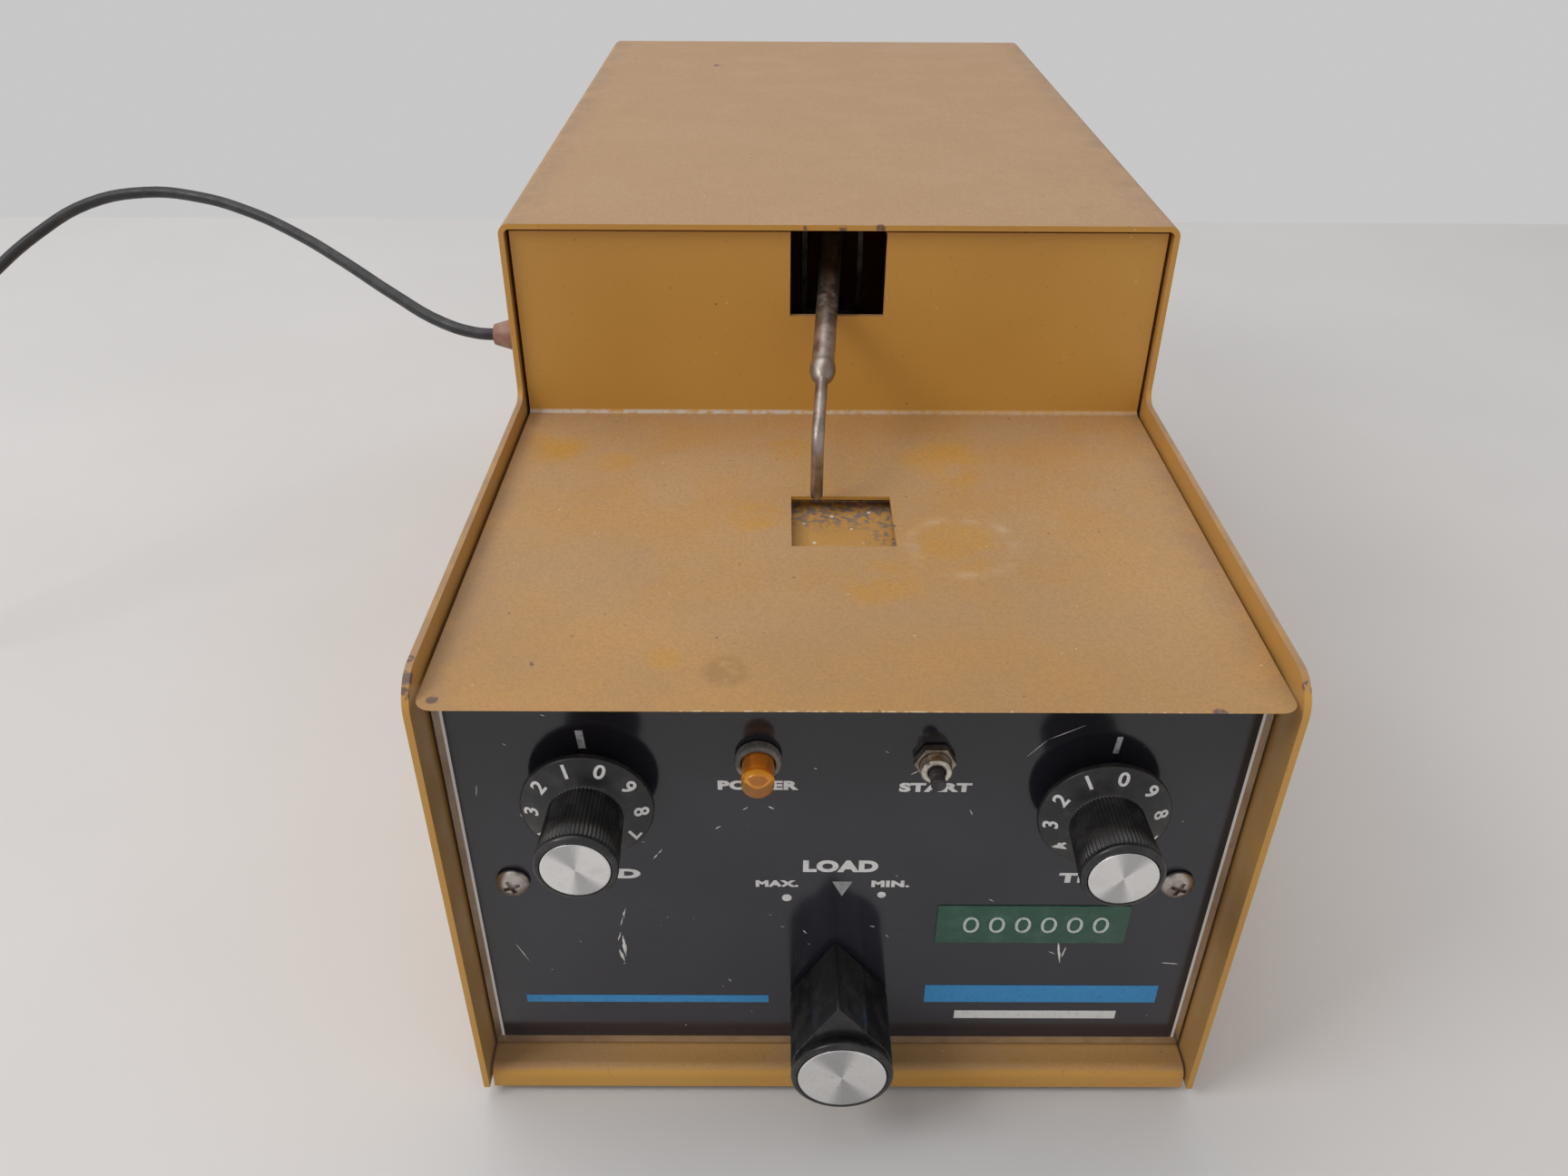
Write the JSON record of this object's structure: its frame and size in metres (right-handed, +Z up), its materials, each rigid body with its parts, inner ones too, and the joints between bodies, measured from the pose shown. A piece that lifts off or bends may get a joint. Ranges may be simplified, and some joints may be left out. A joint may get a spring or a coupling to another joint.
{
  "type": "specimen polisher",
  "caption": "Bench-top polisher: a low metal case with a flat deck, a panel with dials, and a bent load arm that strokes and swings over a square locating hole.",
  "frame": {"origin": "on the floor under the middle of the machine's own box, without the cord", "axes": "+Z up, -Y towards the control panel, +X to the operator's right"},
  "size_m": [0.484, 0.4166, 0.1855],
  "materials": {
    "paint": "textured enamel, dusty, satin",
    "panel_plate": "black satin face with a bare margin",
    "plated_steel": "dull plated",
    "bare_steel": "ground",
    "arm_steel": "bare steel with light rust",
    "mill_aluminium": "mill finish",
    "spun_aluminium": "spun satin",
    "brass": "satin",
    "foot_rubber": "matt",
    "cord_rubber": "matt",
    "knob_plastic": "moulded, satin",
    "amber_lens": "clear amber",
    "lamp_bezel": "grey, dusty",
    "moulded_brown": "moulded",
    "gland_plastic": "moulded, faded",
    "board_green": "lacquered",
    "print_white": "screen print",
    "print_blue": "screen print",
    "label_tape": "embossed tape"
  },
  "bodies": {
    "housing": {"cover": "paint", "deck_sheet": "paint", "recess_pan": "paint", "base_chassis": "paint", "front_panel": "panel_plate", "panel_bracket_left": "plated_steel", "panel_bracket_right": "plated_steel", "panel_screw_left": "plated_steel", "panel_screw_right": "plated_steel", "cover_screw_front_left": "plated_steel", "cover_screw_front_right": "plated_steel", "cover_screw_rear_left": "plated_steel", "cover_screw_rear_right": "plated_steel", "foot_front_left": "foot_rubber", "foot_front_right": "foot_rubber", "foot_rear_left": "foot_rubber", "foot_rear_right": "foot_rubber", "speed_control": "plated_steel", "speed_nut": "plated_steel", "time_control": "plated_steel", "time_nut": "plated_steel", "load_bush": "brass", "lamp_lens": "amber_lens", "lamp_bezel": "lamp_bezel", "lamp_holder": "moulded_brown", "start_switch": "plated_steel", "start_nut": "plated_steel", "mechanism_frame": "plated_steel", "guide_support_front": "mill_aluminium", "guide_support_rear": "mill_aluminium", "guide_rod_left": "bare_steel", "guide_rod_right": "bare_steel", "gear_motor": "mill_aluminium", "transformer": "plated_steel", "circuit_board": "board_green", "cord_gland": "gland_plastic", "cord_lead": "cord_rubber", "cord_coil": "cord_rubber", "cord_tie": "cord_rubber", "cord_tail": "cord_rubber", "cord_plug": "cord_rubber"},
    "speed_dial": {"speed_knob": "knob_plastic", "speed_knob_cap": "spun_aluminium", "speed_shaft": "bare_steel"},
    "time_dial": {"time_knob": "knob_plastic", "time_knob_cap": "spun_aluminium", "time_shaft": "bare_steel"},
    "load_dial": {"load_knob": "knob_plastic", "load_knob_cap": "spun_aluminium", "load_shaft": "bare_steel"},
    "start_plunger": {"start_button": "knob_plastic"},
    "stroke_carriage": {"carriage": "mill_aluminium"},
    "yoke": {"swing_yoke": "plated_steel", "swing_lever": "plated_steel", "arm_pivot_pin": "bare_steel"},
    "arm": {"load_arm": "arm_steel"},
    "push_rod_body": {"push_rod": "bare_steel", "load_spring": "bare_steel"},
    "spring_foot_body": {"spring_foot": "brass"},
    "crank": {"crank_disc": "bare_steel"}
  },
  "joints": [
    {"name": "speed_turn", "type": "hinge", "parent": "housing", "child": "speed_dial", "pos_m": [-0.057, -0.19375, 0.09875], "axis": [0, 1, 0], "range_deg": [-18, 282]},
    {"name": "time_turn", "type": "hinge", "parent": "housing", "child": "time_dial", "pos_m": [0.05525, -0.19375, 0.09675], "axis": [0, 1, 0], "range_deg": [-10.5, 289.5]},
    {"name": "load_turn", "type": "hinge", "parent": "housing", "child": "load_dial", "pos_m": [-0.0004, -0.19375, 0.0292], "axis": [0, 1, 0], "range_deg": [-18, 18]},
    {"name": "start_press", "type": "slide", "parent": "housing", "child": "start_plunger", "axis": [0, 1, 0], "range_m": [0, 0.0022], "stiffness_N_per_m": 400, "springref_m": -0.002},
    {"name": "arm_stroke", "type": "slide", "parent": "housing", "child": "stroke_carriage", "axis": [0, 1, 0], "range_m": [-0.0224, 0.0005]},
    {"name": "arm_swing", "type": "hinge", "parent": "stroke_carriage", "child": "yoke", "pos_m": [0, -0.02175, 0.1766], "axis": [0, 0, 1], "range_deg": [-9.5, 17.5]},
    {"name": "arm_lift", "type": "hinge", "parent": "yoke", "child": "arm", "pos_m": [0, -0.02175, 0.1766], "axis": [-0.9976, 0.0698, 0], "range_deg": [0, 18], "stiffness_Nm_per_rad": 0.3, "springref_deg": -22.92},
    {"name": "push_rod_slide", "type": "slide", "parent": "stroke_carriage", "child": "push_rod_body", "axis": [0, 0, 1], "range_m": [-0.0032, 0], "deforming": ["load_spring"]},
    {"name": "spring_foot_slide", "type": "slide", "parent": "stroke_carriage", "child": "spring_foot_body", "axis": [0, 0, 1], "range_m": [-0.0014, 0.0014]},
    {"name": "crank_spin", "type": "hinge", "parent": "housing", "child": "crank", "pos_m": [0, 0.01625, 0.087], "axis": [0, 0, 1], "continuous": true}
  ],
  "couplings": [
    {"joint": "push_rod_slide", "follows": "arm_lift", "m_per_rad": -0.0095},
    {"joint": "spring_foot_slide", "follows": "load_turn", "m_per_rad": -0.004}
  ]
}
